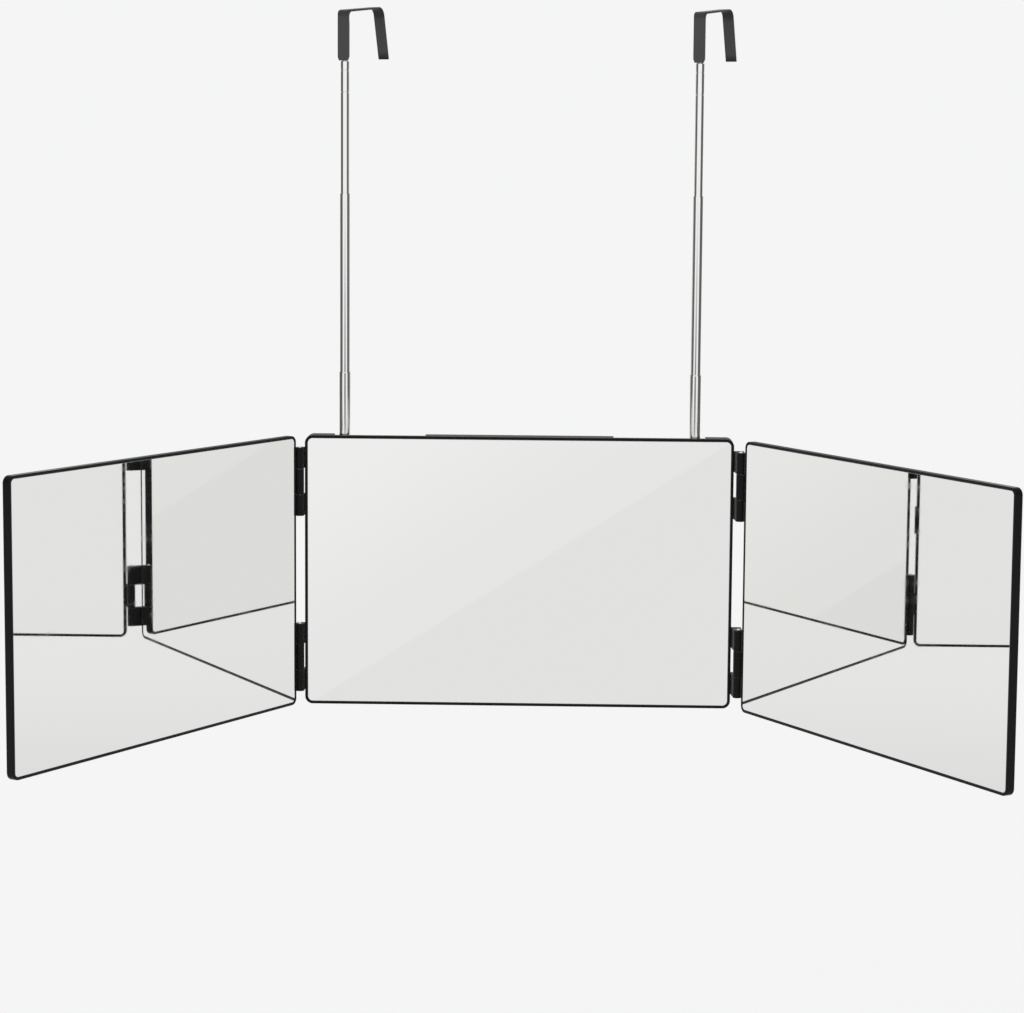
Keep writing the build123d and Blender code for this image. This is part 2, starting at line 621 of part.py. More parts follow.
def build_parts():
    """Every node of the mirror, in its rest pose, by name."""
    parts = {
        "casing": casing(),
        "backing_plate": backing_plate(),
        "centre_tape": centre_tape(),
        "centre_mirror": centre_mirror(),
        "plate_screws": plate_screws(),
        "clamp_screws": clamp_screws(),
        "bracket_screws": bracket_screws(),
    }
    bores = {"lower": SLEEVE_BORE_R}
    for stage, inner in (("lower", "middle"), ("middle", "upper")):
        bores[inner] = TUBE_R[stage] - TUBE_WALL[stage]
    for side in SIDES:
        parts[f"{side}_wing_tray"] = place_wing(side, wing_tray(side))
        parts[f"{side}_wing_tape"] = place_wing(side, wing_tape(side))
        parts[f"{side}_wing_mirror"] = place_wing(side, wing_mirror(side))
        parts[f"{side}_leaf_screws"] = leaf_screws(side)
        for level, z0 in HINGE_Z.items():
            parts[f"{side}_{level}_hinge_bracket"] = hinge_bracket(side, z0)
            parts[f"{side}_{level}_hinge_leaf"] = place_wing(side, hinge_leaf(side, z0))
            parts[f"{side}_{level}_hinge_pin"] = hinge_pin(side, z0)
        parts[f"{side}_rod_sleeve"] = place_rod(side, sleeve())
        parts[f"{side}_sleeve_plug"] = place_rod(side, sleeve_plug())
        for level, z in CLAMP_Z.items():
            parts[f"{side}_{level}_clamp"] = place_rod(side, saddle_clamp(z))
        parts[f"{side}_lower_tube"] = place_rod(side, tube("lower", TUBE_R["middle"] + RUNNING))
        parts[f"{side}_middle_tube"] = place_rod(side, tube("middle", TUBE_R["upper"] + RUNNING))
        parts[f"{side}_upper_tube"] = place_rod(side, upper_tube())
        for stage, bore in bores.items():
            parts[f"{side}_{stage}_ring"] = place_rod(side, friction_ring(stage, bore))
        parts[f"{side}_swivel_pin"] = place_rod(side, swivel_pin())
        parts[f"{side}_hook"] = place_rod(side, Rot(Z=-HOOK_REST) * hook())
    return parts


PARTS = build_parts()
os.makedirs("parts", exist_ok=True)
for name, shape in PARTS.items():
    export_step(shape, f"parts/{name}.step")
    print(f"{name}: volume {shape.volume:.0f} mm3")
print(len(PARTS), "nodes")
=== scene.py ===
# %% [markdown]
# # A three-panel travel mirror on telescopic rods
#
# The object is a flat casing with a mirror in its front, two thin mirrored wings on knuckle
# hinges, and two telescopic steel rods that end in door hooks. Every solid piece comes ready
# made from the frame, at its real size. What is left to do here is the finish: how moulded
# plastic, silvered glass and drawn steel answer to light. All lengths are in metres.

# %% Load the frame
import math

import bmesh
import bpy
from mathutils import Matrix, Vector


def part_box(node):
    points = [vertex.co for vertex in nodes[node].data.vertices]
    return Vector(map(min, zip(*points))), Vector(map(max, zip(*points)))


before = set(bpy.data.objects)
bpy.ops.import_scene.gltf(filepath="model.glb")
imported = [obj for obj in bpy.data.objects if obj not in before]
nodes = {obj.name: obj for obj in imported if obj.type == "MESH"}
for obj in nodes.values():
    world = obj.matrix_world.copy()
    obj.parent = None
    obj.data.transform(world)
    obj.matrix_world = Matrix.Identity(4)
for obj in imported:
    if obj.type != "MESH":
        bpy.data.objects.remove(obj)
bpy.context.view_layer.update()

# %% [markdown]
# ## Camera
#
# The object is seen from the front, a little from above, through a long lens that keeps its
# straight edges nearly parallel. The camera could be aimed with a tracking constraint, but a
# rotation matrix made from three plain angles says exactly where it looks, so that is used.

# %% Camera
CAMERA_PLACE = Vector((0.0463, -1.917, 0.3750))
CAMERA_YAW = math.radians(-1.52)      # turned a little towards -X
CAMERA_DROP = math.radians(7.24)      # looks down by this much
CAMERA_ROLL = math.radians(0.42)
LENS_MM = 103.5
CLIP_END = 100.0

forward = Vector((
    math.sin(CAMERA_YAW) * math.cos(CAMERA_DROP),
    math.cos(CAMERA_YAW) * math.cos(CAMERA_DROP),
    -math.sin(CAMERA_DROP),
))
level_right = Vector((math.cos(CAMERA_YAW), -math.sin(CAMERA_YAW), 0.0))
level_up = level_right.cross(forward)
right = level_right * math.cos(CAMERA_ROLL) + level_up * math.sin(CAMERA_ROLL)
up = level_up * math.cos(CAMERA_ROLL) - level_right * math.sin(CAMERA_ROLL)

camera_data = bpy.data.cameras.new("camera")
camera_data.lens = LENS_MM
camera_data.sensor_fit = "HORIZONTAL"
camera_data.clip_end = CLIP_END
camera = bpy.data.objects.new("camera", camera_data)
turn = Matrix((right, up, -forward)).transposed().to_4x4()
camera.matrix_world = Matrix.Translation(CAMERA_PLACE) @ turn
bpy.context.scene.collection.objects.link(camera)
bpy.context.scene.camera = camera
bpy.context.scene.view_settings.view_transform = "Standard"
print("camera at", tuple(CAMERA_PLACE), "lens", LENS_MM, "mm")

# %% [markdown]
# ## Small helpers for shader trees
#
# Every finish below is a tree of shader nodes. Written out in full, each node takes one line
# to make, one for each value and one for each link. One helper makes a node, sets its values
# and links whatever socket is handed to it, so that a tree reads from top to bottom.

# %% Node helpers
def fill_inputs(tree, node, values):
    """A value that is itself a socket is linked to its input, any other one is set."""
    for name, value in values.items():
        if isinstance(value, bpy.types.NodeSocket):
            tree.links.new(value, node.inputs[name])
        else:
            node.inputs[name].default_value = value


def add(tree, kind, values=None, **settings):
    """New shader node with its settings and its inputs filled."""
    made = tree.nodes.new("ShaderNode" + kind)
    for name, value in settings.items():
        setattr(made, name, value)
    fill_inputs(tree, made, values or {})
    return made


def maths(tree, operation, first, second=0.0):
    """One sum of two numbers."""
    return add(tree, "Math", {0: first, 1: second}, operation=operation).outputs[0]


def vector_maths(tree, operation, first, second):
    """One sum of two vectors that gives a vector."""
    return add(tree, "VectorMath", {0: first, 1: second}, operation=operation).outputs[0]


def dot(tree, first, second):
    """Dot product of two vectors."""
    made = add(tree, "VectorMath", {0: first, 1: second}, operation="DOT_PRODUCT")
    return made.outputs["Value"]


def ramp(tree, value, low, high, to_low=0.0, to_high=1.0):
    """Value carried smoothly from one range to another and held at the ends."""
    made = add(tree, "MapRange", {"Value": value, "From Min": low, "From Max": high,
                                  "To Min": to_low, "To Max": to_high},
               interpolation_type="SMOOTHSTEP")
    return made.outputs["Result"]


def band(tree, value, low, high, soft):
    """One inside a range, nothing outside it, with soft ends."""
    rise = ramp(tree, value, low - soft, low + soft)
    fall = ramp(tree, value, high - soft, high + soft, 1.0, 0.0)
    return maths(tree, "MULTIPLY", rise, fall)


def blend(tree, factor, first, second):
    """Blend of two numbers."""
    return add(tree, "Mix", {0: factor, 2: first, 3: second}).outputs[0]


def mix_colour(tree, factor, first, second):
    """Blend of two colours."""
    made = add(tree, "Mix", {0: factor, 6: first, 7: second}, data_type="RGBA")
    return made.outputs[2]


def noise(tree, place, size, detail=2.0):
    """Cloudy noise whose features are about this many metres across."""
    scale = maths(tree, "DIVIDE", 1.0, size)
    return add(tree, "TexNoise", {"Vector": place, "Scale": scale, "Detail": detail}).outputs["Fac"]


def own_place(tree):
    """Place of the shaded point in its piece's own space, in metres."""
    return add(tree, "TexCoord").outputs["Object"]


def split(tree, vector):
    """The X, Y and Z of a vector."""
    parts = add(tree, "SeparateXYZ", {"Vector": vector}).outputs
    return parts["X"], parts["Y"], parts["Z"]


def grey(value, warmth=0.0):
    """Near-neutral colour, a little warmer or cooler than grey."""
    return (value * (1 + warmth), value, value * (1 - warmth), 1.0)


def drifting_grey(tree, drift, value, spread, warmth=0.0):
    """Grey that drifts a little darker and a little lighter."""
    return mix_colour(tree, drift, grey(value * (1 - spread), warmth),
                      grey(value * (1 + spread), -warmth))


# %% Group and material helpers
def new_group(name, inputs, outputs):
    """Empty shader node group with named sockets: (tree, its inputs, its output node's)."""
    tree = bpy.data.node_groups.new(name, "ShaderNodeTree")
    for label, kind in inputs.items():
        tree.interface.new_socket(label, in_out="INPUT", socket_type="NodeSocket" + kind)
    for label, kind in outputs.items():
        tree.interface.new_socket(label, in_out="OUTPUT", socket_type="NodeSocket" + kind)
    given = tree.nodes.new("NodeGroupInput")
    result = tree.nodes.new("NodeGroupOutput")
    return tree, given.outputs, result


def use_group(tree, group, values):
    """The outputs of a group that is placed in a material's tree."""
    made = tree.nodes.new("ShaderNodeGroup")
    made.node_tree = group
    fill_inputs(tree, made, values)
    return made.outputs


def new_material(name):
    """Empty material: (material, its tree, its Principled shader)."""
    material = bpy.data.materials.new(name)
    material.use_nodes = True
    tree = material.node_tree
    tree.nodes.clear()
    shader = add(tree, "BsdfPrincipled")
    add(tree, "OutputMaterial", {"Surface": shader.outputs["BSDF"]})
    return material, tree, shader


# %% [markdown]
# ## Studio
#
# The object hangs in the air of a white studio, high over a pale floor, as such a mirror hangs
# from a rail. A sky picture would do for light, but a plain world colour keeps the ground
# behind the object white and even.

# %% World
WORLD_LIGHT = 0.915
WORLD_COLOUR = (0.995, 1.0, 0.998, 1.0)

world = bpy.data.worlds.new("studio")
world.use_nodes = True
bpy.context.scene.world = world
background = world.node_tree.nodes["Background"].inputs
background["Color"].default_value = WORLD_COLOUR
background["Strength"].default_value = WORLD_LIGHT
print("world", WORLD_LIGHT)

# %% [markdown]
# The floor has to meet the world without a line. Suns light it evenly at any distance, which
# a lamp nearby can't, so its paint needs only the one value that brings it to the world's
# brightness.

# %% Floor
FLOOR_Z = -0.9
FLOOR_RADIUS = 38.0
FLOOR_SIDES = 48
FLOOR_PAINT = 0.794
FLOOR_MOTTLE = 0.005        # the paint drifts by this share of its tone
FLOOR_MOTTLE_SIZE = 0.8


def stage_piece(name, mesh, material):
    """Part of the studio, which is not part of the object."""
    mesh.materials.append(material)
    made = bpy.data.objects.new(name, mesh)
    bpy.context.scene.collection.objects.link(made)
    return made


def floor_paint():
    """Matt paint with a very faint mottle."""
    material, tree, shader = new_material("floor_paint")
    mottle = noise(tree, add(tree, "NewGeometry").outputs["Position"], FLOOR_MOTTLE_SIZE)
    fill_inputs(tree, shader, {
        "Base Color": drifting_grey(tree, mottle, FLOOR_PAINT, FLOOR_MOTTLE),
        "Roughness": 1.0,
        "Specular IOR Level": 0.0,
    })
    return material


floor_mesh = bpy.data.meshes.new("floor")
angles = [2 * math.pi * i / FLOOR_SIDES for i in range(FLOOR_SIDES)]
floor_mesh.from_pydata(
    [(FLOOR_RADIUS * math.cos(a), FLOOR_RADIUS * math.sin(a), FLOOR_Z) for a in angles],
    [], [range(FLOOR_SIDES)])
stage_piece("floor", floor_mesh, floor_paint())
print("floor at", FLOOR_Z)

# %% [markdown]
# Two wide, soft suns stand for the studio's overhead softboxes: the key from the upper left
# in front, and a weaker one from the right. Point lamps would give hard shadows and bright
# dots in the steel.

# %% Suns
def soft_sun(name, strength, width, aim):
    """Sun with a disc this many degrees wide, shining along the aim."""
    light = bpy.data.lights.new(name, "SUN")
    light.energy = strength
    light.angle = math.radians(width)
    made = bpy.data.objects.new(name, light)
    made.rotation_mode = "QUATERNION"
    made.rotation_quaternion = Vector(aim).to_track_quat("-Z", "Y")
    bpy.context.scene.collection.objects.link(made)
    print("sun", name, strength)


soft_sun("key", strength=0.65, width=50, aim=(0.5, 0.6, -1.0))
soft_sun("fill", strength=0.30, width=60, aim=(-0.8, 0.2, -1.0))

# %% [markdown]
# ## Light tent
#
# A mirror shows what stands around it, and bright steel in an all-white room looks like grey
# paint. So photographers put such things in a light tent: a ball of white cloth with strips
# in it that draw lines along bright tubes. The tent here is a ball that only reflections see.
# It hides nothing and casts no shadow.
#
# Below the casing's top its cloth is greyer, so that the panels look like mirrors and not
# like holes. In front a sheet slants across it, which gives the middle mirror its sheen, and
# behind it is brighter, which lifts the dark backs of the panels.

# %% Lower cloth
FRONT_Y = (-0.50, -0.55)             # the tent's front begins between these
BEHIND_Y = (0.52, 0.75)              # and its back between these
GREY_CLOTH = (0.50, 0.81)            # light of the cloth, low down and higher up
GREY_CLOTH_Z = (-0.55, -0.12)
BACK_CLOTH = (1.15, 0.95)            # the same for the cloth behind
BACK_CLOTH_Z = (-0.40, 0.12)
SHEET_HALF_WIDTH = 0.30
SHEET_SIDE_SOFT = 0.03
SHEET_LIGHT = (0.814, 0.877)         # above its slanting edge, and far above it
SHEET_REACH = 0.22
SHEET_SHADE = 0.782                  # below the edge
SHEET_EDGE = (-0.5346, -0.1131, 0.8375)     # square to the plane that the edge lies in
SHEET_EDGE_AT = 0.07445              # that plane's distance from the origin
SHEET_EDGE_SOFT = 0.002


def sheet_glow(tree, place):
    """Light of the sheet in front: two plain tones that meet along the slanting edge."""
    over_edge = maths(tree, "SUBTRACT", dot(tree, place, SHEET_EDGE), SHEET_EDGE_AT)
    lit = ramp(tree, over_edge, 0.0, SHEET_REACH, *SHEET_LIGHT)
    is_over = ramp(tree, over_edge, -SHEET_EDGE_SOFT, SHEET_EDGE_SOFT)
    return blend(tree, is_over, SHEET_SHADE, lit)


def lower_cloth(tree, place):
    """Light of the cloth below the casing's top."""
    x, y, z = split(tree, place)
    sheet = maths(tree, "MULTIPLY", ramp(tree, y, *FRONT_Y),
                  band(tree, x, -SHEET_HALF_WIDTH, SHEET_HALF_WIDTH, SHEET_SIDE_SOFT))
    cloth = blend(tree, sheet, ramp(tree, z, *GREY_CLOTH_Z, *GREY_CLOTH), sheet_glow(tree, place))
    return blend(tree, ramp(tree, y, *BEHIND_Y), cloth, ramp(tree, z, *BACK_CLOTH_Z, *BACK_CLOTH))


# %% [markdown]
# The upper cloth is white, and the tubes stand in front of it. A black strip on each side
# draws a dark line along each edge of a tube, and a grey strip in front draws a dim line along
# its middle. A third strip, behind, keeps the panels' top edges dark where light grazes them.

# %% Upper cloth
WHITE_CLOTH = 1.20
SIDE_STRIP_SHADE = 0.88
SIDE_STRIP_X = (0.52, 0.58)
SIDE_STRIP_Y = (-0.55, 0.62)
SIDE_STRIP_SOFT = 0.10
FRONT_STRIP_SHADE = 0.80
FRONT_STRIP_HALF_WIDTH = 0.28
FRONT_STRIP_SOFT = 0.10
FRONT_STRIP_FADE_Z = (0.09, 0.36)
BACK_STRIP_SHADE = 0.85
BACK_STRIP_HALF_WIDTH = 0.42
BACK_STRIP_SIDE_SOFT = 0.10
BACK_STRIP_Z = (0.12, 0.62)
BACK_STRIP_END_SOFT = 0.06


def upper_cloth(tree, place):
    """Light of the white cloth above the casing's top, with its strips."""
    x, y, z = split(tree, place)
    outwards = maths(tree, "ABSOLUTE", x)
    side = maths(tree, "MULTIPLY", ramp(tree, outwards, *SIDE_STRIP_X, 0.0, SIDE_STRIP_SHADE),
                 band(tree, y, *SIDE_STRIP_Y, SIDE_STRIP_SOFT))

    across = band(tree, x, -FRONT_STRIP_HALF_WIDTH, FRONT_STRIP_HALF_WIDTH, FRONT_STRIP_SOFT)
    fade = ramp(tree, z, *FRONT_STRIP_FADE_Z, FRONT_STRIP_SHADE, 0.0)
    front = maths(tree, "MULTIPLY", across, maths(tree, "MULTIPLY", fade, ramp(tree, y, *FRONT_Y)))

    across = band(tree, x, -BACK_STRIP_HALF_WIDTH, BACK_STRIP_HALF_WIDTH, BACK_STRIP_SIDE_SOFT)
    along = band(tree, z, *BACK_STRIP_Z, BACK_STRIP_END_SOFT)
    depth = ramp(tree, y, *BEHIND_Y, 0.0, BACK_STRIP_SHADE)
    back = maths(tree, "MULTIPLY", across, maths(tree, "MULTIPLY", along, depth))

    shade = maths(tree, "MAXIMUM", maths(tree, "ADD", side, front), back)
    return maths(tree, "MULTIPLY", maths(tree, "SUBTRACT", 1.0, shade), WHITE_CLOTH)


# %% Tent
TENT_RADIUS = 0.92
TENT_MIDDLE = Vector((0.0, -0.05, 0.20))
TENT_ROUNDS = 4
SEAM_Z = 0.085                       # where the lower cloth meets the white one
SEAM_SOFT = 0.006


def tent_cloth():
    """Cloth that glows by where on the tent it is."""
    material = bpy.data.materials.new("tent_cloth")
    material.use_nodes = True
    tree = material.node_tree
    tree.nodes.clear()
    place = add(tree, "NewGeometry").outputs["Position"]
    above = ramp(tree, split(tree, place)[2], SEAM_Z - SEAM_SOFT, SEAM_Z + SEAM_SOFT)
    light = blend(tree, above, lower_cloth(tree, place), upper_cloth(tree, place))
    glow = add(tree, "Emission", {"Strength": light})
    add(tree, "OutputMaterial", {"Surface": glow.outputs[0]})
    return material


tent_shape = bmesh.new()
bmesh.ops.create_icosphere(tent_shape, subdivisions=TENT_ROUNDS, radius=TENT_RADIUS,
                           matrix=Matrix.Translation(TENT_MIDDLE))
tent_mesh = bpy.data.meshes.new("light_tent")
tent_shape.to_mesh(tent_mesh)
tent_shape.free()
tent = stage_piece("light_tent", tent_mesh, tent_cloth())
tent.visible_camera = False
tent.visible_diffuse = False
tent.visible_transmission = False
tent.visible_shadow = False
print("tent of", TENT_RADIUS, "round", tuple(TENT_MIDDLE))

# %% [markdown]
# ## Effects that several finishes share
#
# Spark-eroded moulds leave a fine matt grain on plastic, and the melt leaves slow clouds of
# tone and gloss. The group holds both, measured in metres, so that each plastic only says how
# coarse its own grain is.

# %% Moulded grain
CLOUDS_APART = (3.1, 1.7, 5.3)       # gloss and tone drift at different places

grain_group, given, result = new_group(
    "moulded_grain", inputs={"Grain": "Float", "Cloud": "Float"},
    outputs={"Height": "Float", "Tone": "Float", "Gloss": "Float"})
place = own_place(grain_group)
elsewhere = vector_maths(grain_group, "ADD", place, CLOUDS_APART)
fill_inputs(grain_group, result, {
    "Height": noise(grain_group, place, given["Grain"], detail=3.0),
    "Tone": noise(grain_group, place, given["Cloud"], detail=2.0),
    "Gloss": noise(grain_group, elsewhere, given["Cloud"], detail=4.0),
})
print("group", grain_group.name)

# %% [markdown]
# Moulded and pressed edges are never quite sharp, and hands polish them first. The Bevel node
# looks at the faces round a point: where its softened normal leaves the true one there is an
# edge. That gives both a rounded normal to shade with and a mask for the rubbed look. The
# plastics also use the mask to tint their edges, partly rubbed wear and partly painted light:
# lighter as a painted highlight, or darker as painted shade.

# %% Rubbed edges
BEVEL_SAMPLES = 4
EDGE_LIKENESS = (0.99, 0.80)         # likeness of the two normals where an edge starts, is full
PATCHES = (0.35, 0.65)               # part of the noise's range between bare and rubbed
PATCH_LEAST = 0.35                   # rubbing where it is least

edge_group, given, result = new_group(
    "rubbed_edges", inputs={"Radius": "Float", "Breakup": "Float"},
    outputs={"Mask": "Float", "Normal": "Vector"})
soft_normal = add(edge_group, "Bevel", {"Radius": given["Radius"]},
                  samples=BEVEL_SAMPLES).outputs[0]
true_normal = add(edge_group, "NewGeometry").outputs["Normal"]
edge = ramp(edge_group, dot(edge_group, soft_normal, true_normal), *EDGE_LIKENESS)
patches = noise(edge_group, own_place(edge_group), given["Breakup"], detail=3.0)
rubbing = ramp(edge_group, patches, *PATCHES, PATCH_LEAST, 1.0)
fill_inputs(edge_group, result, {"Mask": maths(edge_group, "MULTIPLY", edge, rubbing),
                                 "Normal": soft_normal})
print("group", edge_group.name)

# %% [markdown]
# A drawn tube keeps faint lines along its length from the die, and a pressed plate keeps
# rolling lines. Stretched noise gives both: short across the lines and long along them.

# %% Drawn lines
SMEAR_SIZE = 0.006                   # handling marks that dull a metal here and there

lines_group, given, result = new_group(
    "drawn_lines", inputs={"Across": "Float", "Along": "Float"},
    outputs={"Height": "Float", "Gloss": "Float"})
place = own_place(lines_group)
x, y, z = split(lines_group, place)
stretched = add(lines_group, "CombineXYZ", {
    "X": maths(lines_group, "DIVIDE", x, given["Across"]),
    "Y": maths(lines_group, "DIVIDE", y, given["Across"]),
    "Z": maths(lines_group, "DIVIDE", z, given["Along"]),
}).outputs[0]
fill_inputs(lines_group, result, {
    "Height": noise(lines_group, stretched, 1.0, detail=3.0),
    "Gloss": noise(lines_group, place, SMEAR_SIZE, detail=4.0),
})
print("group", lines_group.name)

# %% [markdown]
# ## Moulded plastic
#
# The casing, the trays and the hinges are one charcoal ABS with a satin skin. Paint would
# look flatter: in solid-coloured plastic the grain itself makes the sheen, most of all where
# light grazes it. The bump is tiny, and roughness carries most of the look. The big backs of
# the panels come from a mould face with a coarser grain that hides scratches, and their colour
# is painted paler: painted sheen, for the satin glow of light grazing them.

# %% Plastic
GLASS_LIKE_IOR = 1.52
CLOUD_SIZE = 0.035
TONE_DRIFT = 0.14
WARM_DRIFT = 0.004
ROUGHNESS_DRIFT = 0.05
MIDDLE_OF_NOISE = (0.3, 0.7)
RUB_BREAKUP = 0.004
EDGE_WEAR_AND_LIGHT_SHARE = 0.6
RUB_POLISH = 0.12
SATIN = 0.18
SATIN_SPREAD = 0.35
BACK_COARSER = 2.0                   # grain of a panel's back, next to the grain elsewhere
# the back's colour is painted this many times paler, as painted sheen
BACK_PAINTED_SHEEN = 11.0
BACK_TONE_DRIFT = 0.08
BACK_ROUGHER = 0.10
BACK_LIKENESS = (0.96, 0.995)        # how squarely a face must look back to be grained and painted paler
PAINTED_SHADE_TONE = 0.2                     # tone where shade is painted in fully, as a share of the plain tone


def looks_towards(tree, direction):
    """One on the faces that look in a direction of the piece's own space."""
    normal = add(tree, "TexCoord").outputs["Normal"]
    return ramp(tree, dot(tree, normal, direction), *BACK_LIKENESS)


def moulded_plastic(name, colour, roughness, gloss, grain, depth, edge_radius, edge_tone_of_wear_and_light,
                    back=None, painted_shade=None):
    """Solid-coloured plastic: matt grain, rubbed edges whose tone is partly painted light, and, if
    given, a grained back painted paler as painted sheen, or painted shade.
    """
    material, tree, shader = new_material(name)
    on_back = looks_towards(tree, back) if back else 0.0
    coarse = blend(tree, on_back, grain, grain * BACK_COARSER) if back else grain
    moulded = use_group(tree, grain_group, {"Grain": coarse, "Cloud": CLOUD_SIZE})
    rubbed = use_group(tree, edge_group, {"Radius": edge_radius, "Breakup": RUB_BREAKUP})

    body = drifting_grey(tree, moulded["Tone"], colour, TONE_DRIFT, WARM_DRIFT)
    matt = ramp(tree, moulded["Gloss"], *MIDDLE_OF_NOISE,
                roughness - ROUGHNESS_DRIFT, roughness + ROUGHNESS_DRIFT)
    # Painted sheen: faces that look back are painted paler, for the satin glow of grazing light;
    # they are rougher too.
    if back:
        sheen_painted_back = drifting_grey(tree, moulded["Tone"], colour * BACK_PAINTED_SHEEN, BACK_TONE_DRIFT)
        body = mix_colour(tree, on_back, body, sheen_painted_back)
        matt = maths(tree, "ADD", matt, maths(tree, "MULTIPLY", on_back, BACK_ROUGHER))
    # Painted shade: the colour darkens towards the shade tone where the given mask says.
    if painted_shade:
        body = mix_colour(tree, painted_shade(tree), grey(colour * PAINTED_SHADE_TONE), body)

    # Edge colour, partly rubbed wear and partly painted light: a painted highlight where the edge
    # tone is lighter, painted shade where it is darker.
    worn_and_lit_edges = maths(tree, "MULTIPLY", rubbed["Mask"], EDGE_WEAR_AND_LIGHT_SHARE)
    polish = maths(tree, "MULTIPLY", rubbed["Mask"], RUB_POLISH)
    bump = add(tree, "Bump", {"Strength": 1.0, "Distance": depth,
                              "Height": moulded["Height"], "Normal": rubbed["Normal"]})
    fill_inputs(tree, shader, {
        "Base Color": mix_colour(tree, worn_and_lit_edges, body, grey(colour * edge_tone_of_wear_and_light)),
        "Roughness": maths(tree, "SUBTRACT", matt, polish),
        "Normal": bump.outputs[0],
        "IOR": GLASS_LIKE_IOR,
        "Specular IOR Level": gloss,
        "Sheen Weight": SATIN,
        "Sheen Roughness": SATIN_SPREAD,
    })
    return material


# %% Charcoal panels and hinges
def charcoal_abs(name, back=None):
    """The charcoal plastic, for a panel with a grained back painted paler as painted sheen, or for
    a piece without one.
    """
    # Its edges are painted lighter: partly rubbed wear, partly a painted highlight.
    return moulded_plastic(name, colour=0.0045, roughness=0.32, gloss=0.09, grain=0.00035,
                           depth=0.00003, edge_radius=0.0004, edge_tone_of_wear_and_light=2.0, back=back)


WING_TURN = math.radians(60)         # the wings rest turned forward by this much
BACKWARDS = Vector((0.0, 1.0, 0.0))
charcoal = charcoal_abs("charcoal_satin")
shells = {
    "casing": charcoal_abs("casing_satin", BACKWARDS),
    "left_wing_tray": charcoal_abs("left_tray_satin",
                                   Matrix.Rotation(WING_TURN, 3, "Z") @ BACKWARDS),
    "right_wing_tray": charcoal_abs("right_tray_satin",
                                    Matrix.Rotation(-WING_TURN, 3, "Z") @ BACKWARDS),
}
print("shells", [shell.name for shell in shells.values()])

# %% [markdown]
# The hooks are moulded plastic straps, dipped in soft black vinyl so that they don't scratch a
# door. Painted shade darkens their colour at the edges, over the top bends and at the tip of the
# rear leg; the flats keep the vinyl's plain tone.

# %% Dipped hooks
TOP_SHADE_Z = (0.009, 0.004)         # the painted shade deepens between these depths below the top
TOP_TONE_KEPT = 0.35                      # share of the plain tone left at the top under the painted shade
TIP_SHADE_H = 0.006                  # the painted shade climbs this far up from the rear leg's end
TIP_SHADE = 0.9
LEG_CHANGE = 0.004

hook_low, hook_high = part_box("left_hook")
HOOK_MIDDLE_Y = (hook_low.y + hook_high.y) / 2
HOOK_TIP_Z = min(v.co.z for v in nodes["left_hook"].data.vertices if v.co.y > HOOK_MIDDLE_Y)


def hook_painted_shade(tree):
    """One on the plain vinyl, towards nothing where shade is painted in over the top bends and at
    the rear leg's tip.
    """
    _, y, z = split(tree, own_place(tree))
    under_top = ramp(tree, z, *(hook_high.z - drop for drop in TOP_SHADE_Z), 1.0, TOP_TONE_KEPT)
    rear = ramp(tree, y, HOOK_MIDDLE_Y, HOOK_MIDDLE_Y + LEG_CHANGE)
    tip = ramp(tree, z, HOOK_TIP_Z, HOOK_TIP_Z + TIP_SHADE_H, TIP_SHADE, 0.0)
    shaded_tip = maths(tree, "MULTIPLY", rear, tip)
    return maths(tree, "MULTIPLY", under_top, maths(tree, "SUBTRACT", 1.0, shaded_tip))


# Painted shade: darker edges, top bends and rear tip.
hook_vinyl = moulded_plastic("hook_vinyl", colour=0.053, roughness=0.42, gloss=0.15,
                             grain=0.00045, depth=0.00004, edge_radius=0.0009, edge_tone_of_wear_and_light=0.15,
                             painted_shade=hook_painted_shade)
print("hooks", hook_vinyl.name, "with a tip at", round(HOOK_TIP_Z, 4))

# %% [markdown]
# ## Silvered glass
#
# The mirror is glass with silver on its back. Real glass in front of a metal sheet would show
# the same picture at a much higher cost, so the face is treated as polished metal. What tells
# glass from steel is at the rim: the silver stops a little short of the edge, where a dark
# line of backing paint shows, and the ground edge itself is grey-green glass. A group
# measures how far a point of a pane lies from its nearest edge.

# %% Distance to the edge of a pane
def levelled(tree, vector, turn):
    """Vector turned about Z."""
    return add(tree, "VectorRotate", {"Vector": vector, "Angle": turn},
               rotation_type="Z_AXIS").outputs[0]


pane_group, given, result = new_group(
    "pane_edge",
    inputs={"Centre": "Vector", "Turn": "Float", "Half Width": "Float", "Half Height": "Float"},
    outputs={"Distance": "Float", "Facing": "Float"})
centred = vector_maths(pane_group, "SUBTRACT", own_place(pane_group), given["Centre"])
x, _, z = split(pane_group, levelled(pane_group, centred, given["Turn"]))
to_side = maths(pane_group, "SUBTRACT", given["Half Width"], maths(pane_group, "ABSOLUTE", x))
to_top = maths(pane_group, "SUBTRACT", given["Half Height"], maths(pane_group, "ABSOLUTE", z))
normal = add(pane_group, "TexCoord").outputs["Normal"]
backwards = split(pane_group, levelled(pane_group, normal, given["Turn"]))[1]
fill_inputs(pane_group, result, {
    "Distance": maths(pane_group, "MINIMUM", to_side, to_top),
    "Facing": maths(pane_group, "MULTIPLY", backwards, -1.0),
})
print("group", pane_group.name)

# %% [markdown]
# Glass that has been wiped by hand keeps a faint haze, in arcs from the cloth, and a few
# specks of dust. The haze only raises the roughness by a hair.

# %% Wiped glass
DRIFTS_PER_METRE = 6.0               # how often the wiping strokes bend
STROKES_PER_METRE = (30.0, 30.0, 180.0)
DUST_PER_METRE = 240.0
DUST_SIZE = (0.05, 0.02)             # as a share of the space between two specks

